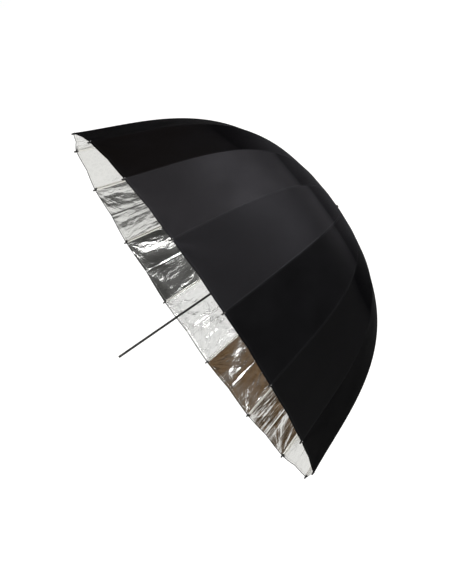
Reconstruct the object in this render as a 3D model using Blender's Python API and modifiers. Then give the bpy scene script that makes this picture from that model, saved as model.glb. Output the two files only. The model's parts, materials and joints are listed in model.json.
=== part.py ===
"""Umbrella reflector for studio flash, about 1.25 m across, with sixteen fibreglass ribs.

The shaft lies along Y. The origin is the centre of the shaft's free end, the one that a
lamp's umbrella holder takes, and the bowl opens towards -Y. The object is drawn open.
Sizes are in metres.
"""

import math

import bmesh
import bpy
from mathutils import Matrix, Vector

# Driving dimensions -------------------------------------------------------------------

CLEARANCE = 0.0003          # gap between pieces that touch

RIB_COUNT = 16
RIB_PHASE = math.radians(6.6)  # turn of the first rib from +X towards +Z
RIM_DIAMETER = 1.25         # circle of the rib tips, open
CANOPY_DEPTH = 0.5265       # rim plane to the rib hinges
SHAFT_IN_FRONT = 0.2585     # free end of the shaft to the rim plane
RIM_ANGLE = math.radians(26.2)  # how far the ribs lean out from the shaft at the rim
CROWN_HANDLE = 0.458        # how long a rib runs on in its direction at the crown
CROWN_DROP = 0.010          # fall of that run
RIM_HANDLE = 0.2425         # how long it runs straight into the rim

SHAFT_RADIUS = 0.0035
SHAFT_WALL = 0.0007
SHAFT_PAST_HINGES = 0.0065  # the shaft's inner end, past the rib hinges

ROD_RADIUS = 0.0020         # fibreglass rib
ROOT_THICKNESS = 0.0016     # flat eye at the rib's root
ROOT_EYE_RADIUS = 0.0020
ROOT_PLATE_LENGTH = 0.0072  # from the hinge to the plate's end inside the ferrule
ROOT_PLATE_WIDTH = 0.0032
ROD_START = 0.0068          # from the hinge to the rod's end inside the ferrule
FERRULE_START = 0.0052      # from the hinge to the ferrule that holds the rod
FERRULE_LENGTH = 0.012
FERRULE_RADIUS = 0.0026
CLIP_RADIUS = 0.0028        # sleeve that carries the stretcher's pivot
CLIP_LENGTH = 0.014
CLIP_AT = 0.315             # hinge to the clip, along the rib
CLIP_LUG = 0.0065           # from the rod's middle to the lug's edge
CLIP_LUG_LENGTH = 0.0084
CLIP_LUG_THICKNESS = 0.0031
PIVOT_DROP = 0.0040         # from the rod's middle to the stretcher's pivot
TIP_RADIUS = 0.0027         # moulded cap at the rib's end
TIP_LENGTH = 0.014
TIP_PAST_ROD = 0.0028       # how far the cap reaches past the rod's end

CLOTH_THICKNESS = 0.0010
CLOTH_GAP = 0.0040          # rod's middle to the cloth
CLOTH_INNER_RADIUS = 0.0085
CLOTH_BANDS = 16            # facets of a canopy sector from crown to rim
HEM_SAG = 0.004             # how far the hem curves in between two tips
HEM_SAG_POWER = 6           # how near the hem that curve starts
TIP_OVERHANG = 0.003        # how far a tip cap reaches past the cloth's corner

HINGE_RADIUS = 0.0100       # circle of the rib hinges on the crown
RING_WIRE_RADIUS = 0.0006
WIRE_CLEARANCE = 0.0003
CROWN_RADIUS = 0.0135
CROWN_BELOW = 0.0023        # crown flange, towards the free end from the hinges
CROWN_ABOVE = 0.0015
CROWN_SLEEVE_RADIUS = 0.0062
CROWN_SLEEVE_LENGTH = 0.018
CROWN_FILLET = 0.0008       # slope between the flange and the sleeve
ROOT_SLOT = 0.0020          # width of the crown's slots

WASHER_RADIUS = 0.0150
WASHER_THICKNESS = 0.0012
WASHER_BEVEL = 0.0004
CAP_RADIUS = 0.0080
CAP_HEIGHT = 0.0155
CAP_SIDE = 0.0020           # the cap's straight side, under its dome
CAP_STEPS = 7

RUNNER_BEFORE_HINGES = 0.246  # stretcher hinges to the rib hinges, open
RUNNER_HINGE_RADIUS = 0.0110
RUNNER_RADIUS = 0.0145
RUNNER_ABOVE = 0.0023
RUNNER_BELOW = 0.0023
RUNNER_SKIRT_RADIUS = 0.0078
RUNNER_SKIRT_LENGTH = 0.052
RUNNER_NECK_HEIGHT = 0.004
RUNNER_NECK_WALL = 0.0022   # from the shaft's surface, at the neck's end
RUNNER_NECK_FOOT = 0.0028   # and where it meets the flange
RUNNER_LIP_RADIUS = 0.0105
RUNNER_LIP_LENGTH = 0.006
RUNNER_LIP_SLOPE = 0.002
RUNNER_SLOT = 0.0018
RUNNER_SLOT_START = 0.0083  # radius of the slots' inner ends
COLLAR_LENGTH = 0.0040
COLLAR_STRAIGHT = 0.0012    # the collar's straight side, before it tapers
COLLAR_RADIUS = 0.0135
COLLAR_END_RADIUS = 0.0115
FOLD_ANGLE = math.radians(47.0)  # turn of a rib from open to closed

STRETCHER_ROD_RADIUS = 0.0013
STRETCHER_EYE_RADIUS = 0.00204
STRETCHER_EYE_THICKNESS = 0.0014
STRETCHER_NECK = 0.0060     # from an eye's middle to the round wire
STRETCHER_PLATE_LENGTH = 0.0090
STRETCHER_PLATE_WIDTH = 0.0036
STRETCHER_OFFSET = 0.0052   # how far beside its rib a stretcher's outer eye lies

BUTTON_AT = 0.030           # runner hinges to the button's pin
BUTTON_LENGTH = 0.022
BUTTON_WIDTH = 0.0060
BUTTON_HEIGHT = 0.0032
BUTTON_TOOTH_SIZE = (0.0024, 0.0036, 0.0022)
BUTTON_TOOTH_INSET = 0.0020  # from the button's end to the tooth's middle
BUTTON_PAD_SIZE = (0.0054, 0.0080, 0.0020)
BUTTON_PAD_INSET = 0.0005   # from the button's other end to the thumb pad
BUTTON_PAD_PROUD = 0.0012
BUTTON_PIN_RADIUS = 0.0007
BUTTON_PIN_LENGTH = 0.0090
BUTTON_PIN_HEIGHT = 0.0062  # shaft's middle to the pin
BUTTON_END_GAP = 0.0006     # between the button's ends and its window
BUTTON_WINDOW_DIP = 0.0008  # how far the window is cut below the runner's bore
BUTTON_WINDOW_HEIGHT = 0.0080
CATCH_HOLE_SIZE = (0.0030, 0.0050, 0.0040)

END_BEVEL = 0.0006          # on the plug's head and the runner's end
PLUG_HEAD = 0.0030
PLUG_DEPTH = 0.012
STOP_PIN_RADIUS = 0.0010
STOP_PIN_LENGTH = 0.0040
STOP_PIN_PROUD = 0.0013     # how far the stop pin stands out under the shaft

TUBE_SIDES = 24
MOULDING_SIDES = 32
PIN_SIDES = 12
SLEEVE_SIDES = 8
WIRE_SIDES = 6
CURVE_STEPS = 400           # chords that a rib's length is added up from
CUT_PAST = 0.001            # how far a cutter runs past what it cuts
HOLE_DEPTH = 0.010          # longer than any hole across a rib, stretcher or button
WELD_DISTANCE = 0.000002
TURN_WELD_DISTANCE = 0.00001

# Places worked out from them ------------------------------------------------------------

HINGE_Y = SHAFT_IN_FRONT + CANOPY_DEPTH
SHAFT_END_Y = HINGE_Y + SHAFT_PAST_HINGES
RUNNER_Y = HINGE_Y - RUNNER_BEFORE_HINGES
RIM_RADIUS = RIM_DIAMETER / 2
RIB_PITCH = 2 * math.pi / RIB_COUNT
RING_GROOVE = RING_WIRE_RADIUS + WIRE_CLEARANCE
BUTTON_Y = RUNNER_Y - BUTTON_AT
BUTTON_TOOTH_Y = BUTTON_Y + BUTTON_LENGTH / 2 - BUTTON_TOOTH_INSET


def rib_handles():
    """The rib's Bezier control points, from its hinge: x runs outwards, y towards the apex."""
    tip = Vector((RIM_RADIUS - HINGE_RADIUS, -CANOPY_DEPTH, 0))
    lean = Vector((-math.sin(RIM_ANGLE), math.cos(RIM_ANGLE), 0))
    return Vector((0, 0, 0)), Vector((CROWN_HANDLE, -CROWN_DROP, 0)), tip + RIM_HANDLE * lean, tip


def rib_point(share):
    a, b, c, d = rib_handles()
    rest = 1 - share
    return rest**3 * a + 3 * rest**2 * share * b + 3 * rest * share**2 * c + share**3 * d


def rib_direction(share):
    a, b, c, d = rib_handles()
    rest = 1 - share
    run = rest**2 * (b - a) + 2 * rest * share * (c - b) + share**2 * (d - c)
    return run.normalized()


def rib_outward(share):
    """The direction away from the bowl's hollow, square to the rib."""
    run = rib_direction(share)
    return Vector((-run.y, run.x, 0))


def rib_share(distance):
    """The curve's parameter at a distance along the rib from its hinge."""
    gone = 0.0
    last = rib_point(0)
    for step in range(1, CURVE_STEPS + 1):
        here = rib_point(step / CURVE_STEPS)
        gone += (here - last).length
        last = here
        if gone >= distance:
            return step / CURVE_STEPS
    return 1.0


def rib_length():
    spots = [rib_point(step / CURVE_STEPS) for step in range(CURVE_STEPS + 1)]
    return sum((after - before).length for before, after in zip(spots, spots[1:]))


def runner_hinge():
    """A stretcher's hinge on the runner, from the hinge of its rib."""
    return Vector((RUNNER_HINGE_RADIUS - HINGE_RADIUS, -RUNNER_BEFORE_HINGES, 0))


def stretcher_pivot():
    """The open pivot beside the rib's clip, from the rib's hinge."""
    share = rib_share(CLIP_AT)
    return rib_point(share) - PIVOT_DROP * rib_outward(share)


def fold_travel():
    """How far the runner slides while the ribs turn by FOLD_ANGLE."""
    pivot = stretcher_pivot()
    runner = runner_hinge()
    length = (pivot - runner).length
    folded = Matrix.Rotation(-FOLD_ANGLE, 3, "Z") @ pivot
    across = folded.x - runner.x
    return -(folded.y - math.sqrt(length**2 - across**2)) - RUNNER_BEFORE_HINGES


# Tools -----------------------------------------------------------------------------------


def clear_scene():
    for thing in list(bpy.data.objects):
        bpy.data.objects.remove(thing, do_unlink=True)


def new_collection(name):
    made = bpy.data.collections.new(name)
    bpy.context.scene.collection.children.link(made)
    return made


def material(name, colour, roughness, metallic=0.0):
    made = bpy.data.materials.new(name)
    made.use_nodes = True
    shader = made.node_tree.nodes["Principled BSDF"]
    shader.inputs["Base Color"].default_value = (*colour, 1)
    shader.inputs["Roughness"].default_value = roughness
    shader.inputs["Metallic"].default_value = metallic
    return made


def file_in(thing, collection, finish=None):
    for holder in list(thing.users_collection):
        holder.objects.unlink(thing)
    collection.objects.link(thing)
    if finish:
        thing.data.materials.clear()
        thing.data.materials.append(finish)
    return thing


def as_cutter(thing):
    file_in(thing, cutters)
    thing.hide_render = True
    thing.display_type = "WIRE"
    return thing


def boolean(thing, other, operation):
    step = thing.modifiers.new(operation.title(), "BOOLEAN")
    step.operation = operation
    step.solver = "EXACT"
    step.object = other


def frozen(thing):
    """The object's mesh with its modifiers applied, and the object and its helpers removed."""
    helpers = [step.object for step in thing.modifiers if step.type == "BOOLEAN"]
    graph = bpy.context.evaluated_depsgraph_get()
    mesh = bpy.data.meshes.new_from_object(thing.evaluated_get(graph))
    mesh.transform(thing.matrix_world)
    shape = bmesh.new()
    shape.from_mesh(mesh)
    bmesh.ops.remove_doubles(shape, verts=shape.verts, dist=WELD_DISTANCE)
    shape.to_mesh(mesh)
    shape.free()
    for used in [thing, *helpers]:
        bpy.data.objects.remove(used, do_unlink=True)
    return mesh


def cylinder(name, radius, depth, middle, axis, sides=PIN_SIDES):
    """A solid cylinder whose axis runs along the given direction."""
    turn = Vector((0, 0, 1)).rotation_difference(Vector(axis)).to_euler()
    bpy.ops.mesh.primitive_cylinder_add(
        vertices=sides, radius=radius, depth=depth, location=middle, rotation=turn
    )
    made = bpy.context.active_object
    made.name = name
    return made


def block(name, size, middle, turn=0.0):
    """A box, turned about Z."""
    bpy.ops.mesh.primitive_cube_add(size=1, location=middle, rotation=(0, 0, turn))
    made = bpy.context.active_object
    made.name = name
    made.scale = size
    bpy.ops.object.transform_apply(location=False, rotation=False, scale=True)
    return made


def turned(name, outline, sides=MOULDING_SIDES, closed=True):
    """A shape turned about the shaft, from (radius, y) points, down its outer side first."""
    shape = bmesh.new()
    corners = [shape.verts.new((radius, 0, height)) for radius, height in outline]
    for first, second in zip(corners, corners[1:]):
        shape.edges.new((first, second))
    if closed:
        shape.edges.new((corners[-1], corners[0]))
    mesh = bpy.data.meshes.new(name)
    shape.to_mesh(mesh)
    shape.free()
    made = bpy.data.objects.new(name, mesh)
    bpy.context.scene.collection.objects.link(made)
    made.rotation_euler = (-math.pi / 2, 0, 0)
    turn = made.modifiers.new("Turn", "SCREW")
    turn.steps = turn.render_steps = sides
    turn.use_merge_vertices = True
    turn.merge_threshold = TURN_WELD_DISTANCE
    turn.use_smooth_shade = True
    return made


def ring_wire(name, ring_radius, y):
    bpy.ops.mesh.primitive_torus_add(
        major_radius=ring_radius,
        minor_radius=RING_WIRE_RADIUS,
        major_segments=MOULDING_SIDES,
        minor_segments=WIRE_SIDES,
        location=(0, y, 0),
        rotation=(math.pi / 2, 0, 0),
    )
    made = bpy.context.active_object
    made.name = name
    return file_in(made, reflector, steel)


def slot_cutters(name, inner, outer, width, low, high):
    """One cutter of radial blades, a slot for every rib."""
    shape = bmesh.new()
    for number in range(RIB_COUNT):
        angle = RIB_PHASE + number * RIB_PITCH
        blade = bmesh.ops.create_cube(shape, size=1)["verts"]
        bmesh.ops.scale(shape, vec=(outer - inner, high - low, width), verts=blade)
        bmesh.ops.translate(shape, vec=((outer + inner) / 2, (high + low) / 2, 0), verts=blade)
        bmesh.ops.rotate(shape, cent=(0, 0, 0), matrix=Matrix.Rotation(-angle, 3, "Y"), verts=blade)
    mesh = bpy.data.meshes.new(name)
    shape.to_mesh(mesh)
    shape.free()
    made = bpy.data.objects.new(name, mesh)
    bpy.context.scene.collection.objects.link(made)
    return as_cutter(made)


def around_shaft(name, mesh, number, radius, y, finish):
    """A copy of a piece drawn along +X, turned to its rib's place, its origin on its hinge."""
    angle = RIB_PHASE + number * RIB_PITCH
    made = bpy.data.objects.new(f"{name}_{number + 1:02d}", mesh)
    made.location = (radius * math.cos(angle), y, radius * math.sin(angle))
    made.rotation_euler = (0, -angle, 0)
    return file_in(made, reflector, finish)


# Pieces ------------------------------------------------------------------------------------


def rib_mesh():
    """Root eye, ferrule, bowed rod, stretcher clip and tip cap, along +X from the hinge."""
    path = bpy.data.curves.new("rib_path", "CURVE")
    path.dimensions = "3D"
    path.bevel_depth = ROD_RADIUS
    path.bevel_resolution = 1
    path.use_fill_caps = True
    path.resolution_u = 14
    run = path.splines.new("BEZIER")
    run.bezier_points.add(1)
    start, handle, rim_handle, tip = rib_handles()
    root, end = run.bezier_points
    root.co, root.handle_right, root.handle_left = start, handle, start - (handle - start)
    end.co, end.handle_left, end.handle_right = tip, rim_handle, tip + (tip - rim_handle)
    rod = bpy.data.objects.new("rib_rod", path)
    bpy.context.scene.collection.objects.link(rod)
    bpy.context.view_layer.update()
    rod_mesh = frozen(rod)
    rib = bpy.data.objects.new("rib_pattern", rod_mesh)
    bpy.context.scene.collection.objects.link(rib)

    first = rib_direction(0)
    aim = math.atan2(first.y, first.x)
    across = Vector((0, 0, 1))
    bare = (2 * ROD_START, 4 * ROD_RADIUS, 4 * ROD_RADIUS)
    boolean(rib, block("bare_root", bare, (0, 0, 0), aim), "DIFFERENCE")
    plate = (ROOT_PLATE_LENGTH, ROOT_PLATE_WIDTH, ROOT_THICKNESS)
    boolean(rib, block("root_plate", plate, ROOT_PLATE_LENGTH / 2 * first, aim), "UNION")
    boolean(rib, cylinder("root_eye", ROOT_EYE_RADIUS, ROOT_THICKNESS, (0, 0, 0), across), "UNION")
    middle = (FERRULE_START + FERRULE_LENGTH / 2) * first
    ferrule = cylinder("ferrule", FERRULE_RADIUS, FERRULE_LENGTH, middle, first, SLEEVE_SIDES)
    boolean(rib, ferrule, "UNION")
    hole = cylinder("wire_hole", RING_GROOVE, HOLE_DEPTH, (0, 0, 0), across, SLEEVE_SIDES)
    boolean(rib, hole, "DIFFERENCE")

    share = rib_share(CLIP_AT)
    along = rib_direction(share)
    place = rib_point(share)
    sleeve = cylinder("clip_sleeve", CLIP_RADIUS, CLIP_LENGTH, place, along, SLEEVE_SIDES)
    boolean(rib, sleeve, "UNION")
    lug = block(
        "clip_lug",
        (CLIP_LUG_LENGTH, CLIP_LUG, CLIP_LUG_THICKNESS),
        place - CLIP_LUG / 2 * rib_outward(share),
        math.atan2(along.y, along.x),
    )
    boolean(rib, lug, "UNION")
    last = rib_direction(1)
    middle = rib_point(1) + (TIP_PAST_ROD - TIP_LENGTH / 2) * last
    boolean(rib, cylinder("tip_cap", TIP_RADIUS, TIP_LENGTH, middle, last, SLEEVE_SIDES), "UNION")
    bpy.context.view_layer.update()
    return frozen(rib)


def sector_mesh():
    """The cloth over one rib, from fold line to fold line, along +X from the rib's hinge."""
    shape = bmesh.new()
    bmesh.ops.create_grid(shape, x_segments=2, y_segments=CLOTH_BANDS, size=1)
    half = RIB_PITCH / 2
    hem = rib_length() - TIP_OVERHANG
    for corner in shape.verts:
        side = round(corner.co.x)
        run = (corner.co.y + 1) / 2
        share = rib_share(hem * run - abs(side) * HEM_SAG * run**HEM_SAG_POWER)
        spot = rib_point(share) + CLOTH_GAP * rib_outward(share)
        if run == 0:
            spot.x = CLOTH_INNER_RADIUS - HINGE_RADIUS
        if side:
            # cloth runs straight from rib to rib, so halfway its radius is cos(half) of the rib's
            halfway = (spot.x + HINGE_RADIUS) * math.cos(half)
            spot = Vector((halfway * math.cos(half) - HINGE_RADIUS, spot.y, 0))
            spot.z = side * (halfway * math.sin(half) - CLEARANCE / 2)
        corner.co = spot
    mesh = bpy.data.meshes.new("canopy_sector")
    shape.to_mesh(mesh)
    shape.free()
    return mesh


def stretcher_mesh():
    """A wire with an eye at each end, along +X from its hinge on the runner."""
    far = stretcher_pivot() - runner_hinge() + Vector((0, 0, STRETCHER_OFFSET))
    away = far.normalized()
    flat = Vector((far.x, far.y, 0)).normalized()
    aim = math.atan2(flat.y, flat.x)
    across = Vector((0, 0, 1))
    length = far.length - 2 * STRETCHER_NECK
    wire = cylinder("stretcher_pattern", STRETCHER_ROD_RADIUS, length, far / 2, away, WIRE_SIDES)
    plate = (STRETCHER_PLATE_LENGTH, STRETCHER_PLATE_WIDTH, STRETCHER_EYE_THICKNESS)
    for name, place, toward in (("inner", Vector(), 1), ("outer", far, -1)):
        eye = cylinder(name, STRETCHER_EYE_RADIUS, STRETCHER_EYE_THICKNESS, place, across)
        boolean(wire, eye, "UNION")
        middle = place + toward * STRETCHER_PLATE_LENGTH / 2 * flat
        boolean(wire, block(name + "_plate", plate, middle, aim), "UNION")
    for name, place in (("ring_hole", Vector()), ("rivet_hole", far)):
        hole = cylinder(name, RING_GROOVE, HOLE_DEPTH, place, across, SLEEVE_SIDES)
        boolean(wire, hole, "DIFFERENCE")
    bpy.context.view_layer.update()
    return frozen(wire)


def add_ribs_and_cloth():
    rib = rib_mesh()
    sector = sector_mesh()
    stretcher = stretcher_mesh()
    for number in range(RIB_COUNT):
        around_shaft("rib", rib, number, HINGE_RADIUS, HINGE_Y, fibreglass)
        cloth = around_shaft("canopy_sector", sector, number, HINGE_RADIUS, HINGE_Y, nylon)
        wall = cloth.modifiers.new("Cloth", "SOLIDIFY")
        wall.thickness = CLOTH_THICKNESS
        wall.offset = 1
        around_shaft("stretcher", stretcher, number, RUNNER_HINGE_RADIUS, RUNNER_Y, blackened)


def add_shaft():
    bore = SHAFT_RADIUS - SHAFT_WALL
    outline = [
        (SHAFT_RADIUS, SHAFT_END_Y),
        (SHAFT_RADIUS, PLUG_HEAD + CLEARANCE),
        (bore, PLUG_HEAD + CLEARANCE),
        (bore, SHAFT_END_Y),
    ]
    shaft = turned("shaft", outline, TUBE_SIDES)
    file_in(shaft, reflector, blackened)
    catch = block("catch_hole", CATCH_HOLE_SIZE, (0, BUTTON_TOOTH_Y, SHAFT_RADIUS))
    boolean(shaft, as_cutter(catch), "DIFFERENCE")

    stem = bore - CLEARANCE
    plug = [
        (0, 0),
        (SHAFT_RADIUS - END_BEVEL, 0),
        (SHAFT_RADIUS, END_BEVEL),
        (SHAFT_RADIUS, PLUG_HEAD),
        (stem, PLUG_HEAD),
        (stem, PLUG_DEPTH),
        (0, PLUG_DEPTH),
    ]
    file_in(turned("end_plug", plug[::-1], TUBE_SIDES, closed=False), reflector, plastic)

    # the closed runner's end face comes to rest on this pin, under the shaft
    closed_end = RUNNER_Y - fold_travel() - RUNNER_BELOW - RUNNER_SKIRT_LENGTH
    low = -SHAFT_RADIUS - STOP_PIN_PROUD
    middle = (0, closed_end - STOP_PIN_RADIUS - CLEARANCE, low + STOP_PIN_LENGTH / 2)
    hole = cylinder("stop_hole", STOP_PIN_RADIUS + CLEARANCE, STOP_PIN_LENGTH, middle, (0, 0, 1))
    boolean(shaft, as_cutter(hole), "DIFFERENCE")
    pin = cylinder("stop_pin", STOP_PIN_RADIUS, STOP_PIN_LENGTH, middle, (0, 0, 1))
    file_in(pin, reflector, steel)


def add_crown():
    bore = SHAFT_RADIUS + CLEARANCE
    top = HINGE_Y + CROWN_ABOVE
    bottom = HINGE_Y - CROWN_BELOW
    crown = [
        (CROWN_RADIUS, top),
        (CROWN_RADIUS, bottom),
        (CROWN_SLEEVE_RADIUS + CROWN_FILLET, bottom),
        (CROWN_SLEEVE_RADIUS, bottom - CROWN_FILLET),
        (CROWN_SLEEVE_RADIUS, bottom - CROWN_SLEEVE_LENGTH),
        (bore, bottom - CROWN_SLEEVE_LENGTH),
        (bore, top),
        (HINGE_RADIUS - RING_GROOVE, top),
        (HINGE_RADIUS - RING_GROOVE, HINGE_Y - RING_GROOVE),
        (HINGE_RADIUS + RING_GROOVE, HINGE_Y - RING_GROOVE),
        (HINGE_RADIUS + RING_GROOVE, top),
    ]
    body = turned("crown", crown)
    file_in(body, reflector, plastic)
    inner = HINGE_RADIUS - ROOT_EYE_RADIUS - CLEARANCE
    outer = CROWN_RADIUS + CUT_PAST
    slots = slot_cutters("crown_slots", inner, outer, ROOT_SLOT, bottom - CUT_PAST, top + CUT_PAST)
    boolean(body, slots, "DIFFERENCE")
    ring_wire("crown_ring_wire", HINGE_RADIUS, HINGE_Y)

    low = HINGE_Y + CLOTH_GAP + CLOTH_THICKNESS + CLEARANCE
    washer = [
        (WASHER_RADIUS - WASHER_BEVEL, low + WASHER_THICKNESS),
        (WASHER_RADIUS, low + WASHER_THICKNESS / 2),
        (WASHER_RADIUS - WASHER_BEVEL / 2, low),
        (bore, low),
        (bore, low + WASHER_THICKNESS),
    ]
    file_in(turned("canopy_washer", washer), reflector, plastic)

    seat = low + WASHER_THICKNESS + CLEARANCE
    inside = SHAFT_END_Y + CLEARANCE
    cap = [(0, seat + CAP_HEIGHT)]
    for step in range(CAP_STEPS - 1, -1, -1):
        angle = step / CAP_STEPS * math.pi / 2
        rise = (CAP_HEIGHT - CAP_SIDE) * math.sin(angle)
        cap.append((CAP_RADIUS * math.cos(angle), seat + CAP_SIDE + rise))
    cap += [(CAP_RADIUS, seat), (bore, seat), (bore, inside), (0, inside)]
    file_in(turned("crown_cap", cap, TUBE_SIDES, closed=False), reflector, plastic)


def add_runner():
    bore = SHAFT_RADIUS + CLEARANCE
    top = RUNNER_Y + RUNNER_ABOVE
    bottom = RUNNER_Y - RUNNER_BELOW
    neck = top + RUNNER_NECK_HEIGHT
    skirt_end = bottom - RUNNER_SKIRT_LENGTH
    lip = skirt_end + RUNNER_LIP_LENGTH
    outline = [
        (RUNNER_RADIUS, top),
        (RUNNER_RADIUS, bottom),
        (RUNNER_HINGE_RADIUS + RING_GROOVE, bottom),
        (RUNNER_HINGE_RADIUS + RING_GROOVE, RUNNER_Y + RING_GROOVE),
        (RUNNER_HINGE_RADIUS - RING_GROOVE, RUNNER_Y + RING_GROOVE),
        (RUNNER_HINGE_RADIUS - RING_GROOVE, bottom),
        (RUNNER_SKIRT_RADIUS, bottom),
        (RUNNER_SKIRT_RADIUS, lip + RUNNER_LIP_SLOPE),
        (RUNNER_LIP_RADIUS, lip),
        (RUNNER_LIP_RADIUS, skirt_end + END_BEVEL),
        (RUNNER_LIP_RADIUS - END_BEVEL, skirt_end),
        (bore, skirt_end),
        (bore, neck),
        (SHAFT_RADIUS + RUNNER_NECK_WALL, neck),
        (SHAFT_RADIUS + RUNNER_NECK_FOOT, top),
    ]
    runner = turned("runner", outline)
    file_in(runner, reflector, plastic)
    slots = slot_cutters(
        "runner_slots",
        RUNNER_SLOT_START,
        RUNNER_RADIUS + CUT_PAST,
        RUNNER_SLOT,
        bottom - CUT_PAST,
        top + CUT_PAST,
    )
    boolean(runner, slots, "DIFFERENCE")
    ring_wire("runner_ring_wire", RUNNER_HINGE_RADIUS, RUNNER_Y)

    collar_bore = RUNNER_SKIRT_RADIUS + CLEARANCE
    low = bottom - CLEARANCE
    collar = [
        (COLLAR_RADIUS, low),
        (COLLAR_RADIUS, low - COLLAR_STRAIGHT),
        (COLLAR_END_RADIUS, low - COLLAR_LENGTH),
        (collar_bore, low - COLLAR_LENGTH),
        (collar_bore, low),
    ]
    file_in(turned("runner_collar", collar), reflector, plastic)

    # the button rocks in a window cut through the top of the skirt
    width = BUTTON_WIDTH + 2 * CLEARANCE
    length = BUTTON_LENGTH + 2 * BUTTON_END_GAP
    window_middle = (0, BUTTON_Y, bore - BUTTON_WINDOW_DIP + BUTTON_WINDOW_HEIGHT / 2)
    window = block("button_window", (width, length, BUTTON_WINDOW_HEIGHT), window_middle)
    boolean(runner, as_cutter(window), "DIFFERENCE")
    pivot = Vector((0, BUTTON_Y, BUTTON_PIN_HEIGHT))
    hole_radius = BUTTON_PIN_RADIUS + CLEARANCE
    hole = cylinder("pin_hole", hole_radius, 2 * RUNNER_RADIUS, pivot, (1, 0, 0))
    boolean(runner, as_cutter(hole), "DIFFERENCE")
    pin = cylinder("button_pin", BUTTON_PIN_RADIUS, BUTTON_PIN_LENGTH, pivot, (1, 0, 0))
    file_in(pin, reflector, steel)
    add_button(pivot, hole_radius)


def add_button(pivot, hole_radius):
    """A rocker with a tooth at its inner end, over the shaft's hole, and a thumb pad at the other."""
    rocker = block("button_bar", (BUTTON_WIDTH, BUTTON_LENGTH, BUTTON_HEIGHT), pivot)
    tooth_z = SHAFT_RADIUS + CLEARANCE + BUTTON_TOOTH_SIZE[2] / 2
    tooth = block("button_tooth", BUTTON_TOOTH_SIZE, (0, BUTTON_TOOTH_Y, tooth_z))
    boolean(rocker, tooth, "UNION")
    pad_y = BUTTON_Y - BUTTON_LENGTH / 2 + BUTTON_PAD_INSET + BUTTON_PAD_SIZE[1] / 2
    pad_z = BUTTON_PIN_HEIGHT + BUTTON_HEIGHT / 2 + BUTTON_PAD_PROUD - BUTTON_PAD_SIZE[2] / 2
    boolean(rocker, block("button_pad", BUTTON_PAD_SIZE, (0, pad_y, pad_z)), "UNION")
    hole = cylinder("button_hole", hole_radius, HOLE_DEPTH, pivot, (1, 0, 0))
    boolean(rocker, hole, "DIFFERENCE")
    bpy.context.view_layer.update()
    mesh = frozen(rocker)
    mesh.transform(Matrix.Translation(-pivot))
    button = bpy.data.objects.new("release_button", mesh)
    button.location = pivot
    file_in(button, reflector, plastic)


clear_scene()
reflector = new_collection("umbrella_reflector")
cutters = new_collection("cutters")
fibreglass = material("white_fibreglass", (0.82, 0.81, 0.77), 0.4)
nylon = material("black_nylon", (0.012, 0.012, 0.014), 0.6)
blackened = material("blackened_steel", (0.02, 0.02, 0.02), 0.4, 0.8)
steel = material("bright_steel", (0.6, 0.6, 0.6), 0.3, 1.0)
plastic = material("black_plastic", (0.03, 0.03, 0.028), 0.5)
add_shaft()
add_crown()
add_runner()
add_ribs_and_cloth()
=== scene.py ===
"""The finish of the umbrella reflector: the sewn cover, the rib fittings and every surface."""

import json
import math

import bmesh
import bpy
import numpy as np
from mathutils import Matrix, Vector

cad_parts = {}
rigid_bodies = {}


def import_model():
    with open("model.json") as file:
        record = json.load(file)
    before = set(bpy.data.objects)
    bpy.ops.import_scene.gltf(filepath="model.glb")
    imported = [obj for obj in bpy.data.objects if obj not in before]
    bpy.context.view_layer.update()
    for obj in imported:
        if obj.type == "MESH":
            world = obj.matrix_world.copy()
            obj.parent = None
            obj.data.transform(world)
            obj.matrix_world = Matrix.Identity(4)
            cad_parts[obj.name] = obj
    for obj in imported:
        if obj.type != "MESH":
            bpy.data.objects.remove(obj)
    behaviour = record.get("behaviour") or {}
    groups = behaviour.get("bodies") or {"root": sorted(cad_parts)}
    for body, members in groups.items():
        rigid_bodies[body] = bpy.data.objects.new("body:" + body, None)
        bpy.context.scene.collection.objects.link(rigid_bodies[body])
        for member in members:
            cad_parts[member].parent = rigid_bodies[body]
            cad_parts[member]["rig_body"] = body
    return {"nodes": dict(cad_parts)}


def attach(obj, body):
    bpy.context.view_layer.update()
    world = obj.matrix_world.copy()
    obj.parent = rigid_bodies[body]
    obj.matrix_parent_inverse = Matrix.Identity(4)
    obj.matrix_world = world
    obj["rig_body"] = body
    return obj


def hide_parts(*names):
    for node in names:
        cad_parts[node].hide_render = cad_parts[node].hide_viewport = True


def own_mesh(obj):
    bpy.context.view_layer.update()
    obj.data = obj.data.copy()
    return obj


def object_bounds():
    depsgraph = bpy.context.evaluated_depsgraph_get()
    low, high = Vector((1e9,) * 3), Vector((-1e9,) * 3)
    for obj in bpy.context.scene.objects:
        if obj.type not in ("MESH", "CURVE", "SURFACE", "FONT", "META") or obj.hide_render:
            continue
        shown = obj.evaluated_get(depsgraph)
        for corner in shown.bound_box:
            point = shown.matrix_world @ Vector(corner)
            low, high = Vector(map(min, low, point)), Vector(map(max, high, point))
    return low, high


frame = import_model()
cad_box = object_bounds()

# The frame's own sizes, in metres.
RIBS = 16
FIRST_RIB = math.radians(6.6)
PITCH = 2 * math.pi / RIBS
HALF_GORE = PITCH / 2
HINGE_CIRCLE = 0.010
HINGE_Y = 0.785
RIM_Y = 0.2585
RIM_RADIUS = 0.625
RIM_LEAN = math.radians(26.2)
CROWN_HANDLE = 0.458
CROWN_DROP = 0.010
RIM_HANDLE = 0.2425
ROD_RADIUS = 0.0020
CLIP_AT = 0.315
PIVOT_DROP = 0.0040
STRETCHER_SIDE = 0.0052
RUNNER_CIRCLE = 0.0110
RUNNER_Y = 0.539
WIRE_RADIUS = 0.0013

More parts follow.
